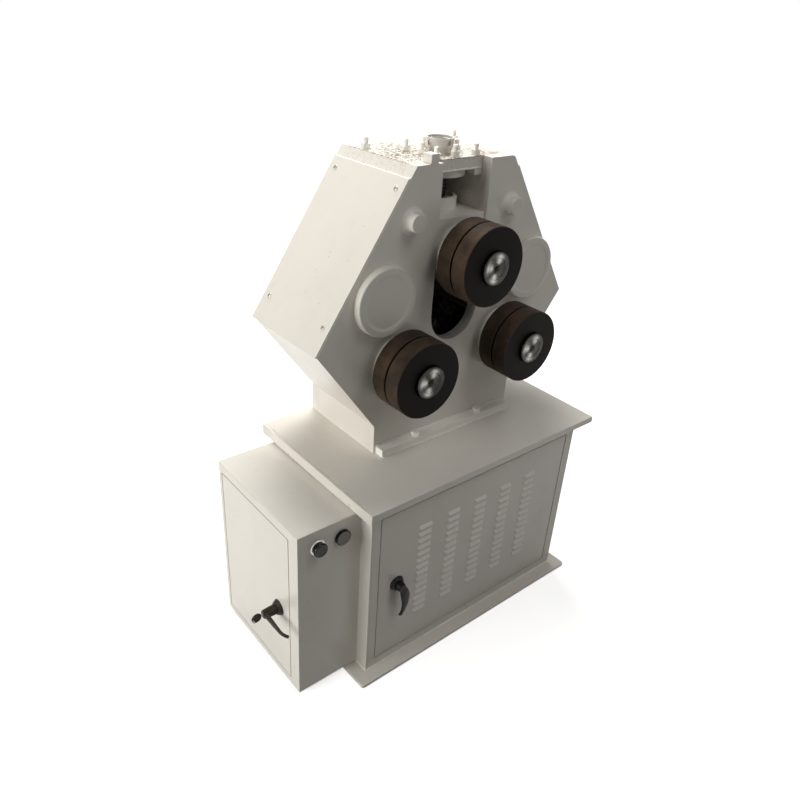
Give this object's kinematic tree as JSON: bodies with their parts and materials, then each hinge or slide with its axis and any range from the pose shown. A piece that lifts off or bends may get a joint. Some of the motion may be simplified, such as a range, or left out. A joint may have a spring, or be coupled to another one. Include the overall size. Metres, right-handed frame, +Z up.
{
  "type": "angle roll bender",
  "caption": "Floor-standing angle roll bender: overhung rollers on a hexagonal plate head with a screw-down top slide, on a louvred cabinet with a side control box.",
  "frame": {"origin": "middle of the base plate's underside, on the floor", "axes": "+Z up; front of the machine, with the rollers and the cabinet door, faces -Y; +X to the right seen from the front"},
  "size_m": [1.0262, 0.516, 1.256],
  "materials": {
    "ivory_paint": "gloss ivory-grey enamel",
    "roller_steel": "oiled dark brown-black hardened steel",
    "turned_steel": "turned bright steel",
    "dark_steel": "oiled dark steel",
    "bolt_steel": "zinc-plated steel",
    "handle_metal": "dark cast metal, satin",
    "black_plastic": "gloss",
    "grey_plastic": "satin",
    "gearbox_paint": "satin grey-blue enamel"
  },
  "bodies": {
    "machine": {"base_plate": "ivory_paint", "cabinet_walls": "ivory_paint", "cabinet_front_frame": "ivory_paint", "table_plate": "ivory_paint", "table_edge_bar": "ivory_paint", "control_box_walls": "ivory_paint", "control_box_frame": "ivory_paint", "mounting_plate": "turned_steel", "switchgear": "grey_plastic", "button_bezels": "grey_plastic", "cable_gland": "black_plastic", "head_front_plate": "ivory_paint", "head_back_plate": "ivory_paint", "head_roof_plate": "ivory_paint", "head_side_plates": "ivory_paint", "left_head_cover": "ivory_paint", "right_head_cover": "ivory_paint", "cover_screws": "bolt_steel", "guide_rails": "turned_steel", "nut_housing": "dark_steel", "stop_block": "ivory_paint", "foot_flanges": "ivory_paint", "hex_bolts": "bolt_steel", "side_caps": "ivory_paint", "side_sleeves": "dark_steel", "tie_rods": "ivory_paint", "shaft_bearings": "turned_steel", "bearing_covers": "ivory_paint", "drive_chain": "dark_steel", "drive_bench": "gearbox_paint", "gearbox_housing": "gearbox_paint", "drive_motor": "gearbox_paint"},
    "cabinet_door_body": {"cabinet_door": "ivory_paint", "cabinet_door_fittings": "dark_steel"},
    "cabinet_handle_body": {"cabinet_handle": "handle_metal"},
    "box_door_body": {"control_box_door": "ivory_paint", "box_door_fittings": "dark_steel"},
    "box_handle_body": {"box_handle": "handle_metal"},
    "box_key_body": {"box_key": "turned_steel"},
    "black_button_body": {"black_button": "black_plastic"},
    "grey_button_body": {"grey_button": "grey_plastic"},
    "slide": {"slide_block": "ivory_paint", "press_screw": "turned_steel", "block_bearings": "turned_steel", "block_covers": "ivory_paint"},
    "nut": {"press_nut": "turned_steel", "nut_drum": "ivory_paint"},
    "top_roller": {"top_shaft": "turned_steel", "top_roller_rings": "roller_steel"},
    "lower_left_roller": {"lower_left_shaft": "turned_steel", "lower_left_rings": "roller_steel", "lower_left_gear": "dark_steel"},
    "lower_right_roller": {"lower_right_shaft": "turned_steel", "lower_right_rings": "roller_steel", "lower_right_gear": "dark_steel"},
    "drive": {"drive_shaft": "turned_steel", "drive_gear": "dark_steel", "head_sprocket": "dark_steel"},
    "output": {"output_shaft": "turned_steel", "cabinet_sprocket": "dark_steel"}
  },
  "joints": [
    {"name": "lower_left_spin", "type": "hinge", "parent": "machine", "child": "lower_left_roller", "pos_m": [-0.156, 0, 0.766], "axis": [0, 1, 0], "continuous": true},
    {"name": "lower_right_spin", "type": "hinge", "parent": "machine", "child": "lower_right_roller", "pos_m": [0.188, 0, 0.766], "axis": [0, 1, 0], "continuous": true},
    {"name": "drive_spin", "type": "hinge", "parent": "machine", "child": "drive", "pos_m": [0.016, 0, 0.71293], "axis": [0, 1, 0], "continuous": true},
    {"name": "output_spin", "type": "hinge", "parent": "machine", "child": "output", "pos_m": [0.016, 0, 0.28], "axis": [0, 1, 0], "continuous": true},
    {"name": "top_slide", "type": "slide", "parent": "machine", "child": "slide", "axis": [0, 0, 1], "range_m": [-0.045, 0.04]},
    {"name": "nut_spin", "type": "hinge", "parent": "machine", "child": "nut", "pos_m": [0.016, 0.062, 1.222], "axis": [0, 0, 1], "range_deg": [-1830, 2060]},
    {"name": "top_spin", "type": "hinge", "parent": "slide", "child": "top_roller", "pos_m": [0.016, 0, 1.007], "axis": [0, 1, 0], "continuous": true},
    {"name": "cabinet_door_hinge", "type": "hinge", "parent": "machine", "child": "cabinet_door_body", "pos_m": [0.316, -0.213, 0.26], "axis": [0, 0, 1], "range_deg": [0, 105]},
    {"name": "cabinet_handle_turn", "type": "hinge", "parent": "cabinet_door_body", "child": "cabinet_handle_body", "pos_m": [-0.27, -0.218, 0.265], "axis": [0, -1, 0], "range_deg": [0, 90]},
    {"name": "box_door_hinge", "type": "hinge", "parent": "machine", "child": "box_door_body", "pos_m": [-0.524, 0.162, 0.25], "axis": [0, 0, -1], "range_deg": [0, 105]},
    {"name": "box_handle_turn", "type": "hinge", "parent": "box_door_body", "child": "box_handle_body", "pos_m": [-0.529, -0.09, 0.232], "axis": [1, 0, 0], "range_deg": [0, 90]},
    {"name": "key_turn", "type": "hinge", "parent": "box_handle_body", "child": "box_key_body", "pos_m": [-0.573, -0.09, 0.232], "axis": [1, 0, 0], "range_deg": [0, 90]},
    {"name": "black_button_push", "type": "slide", "parent": "machine", "child": "black_button_body", "axis": [0, 1, 0], "range_m": [0, 0.004], "stiffness_N_per_m": 600},
    {"name": "grey_button_push", "type": "slide", "parent": "machine", "child": "grey_button_body", "axis": [0, 1, 0], "range_m": [0, 0.004], "stiffness_N_per_m": 600}
  ],
  "couplings": [
    {"joint": "drive_spin", "follows": "lower_left_spin", "ratio": -1.1429},
    {"joint": "lower_right_spin", "follows": "lower_left_spin", "ratio": 1},
    {"joint": "output_spin", "follows": "lower_left_spin", "ratio": -1.5038},
    {"joint": "nut_spin", "follows": "top_slide", "rad_per_m": -785.4}
  ]
}
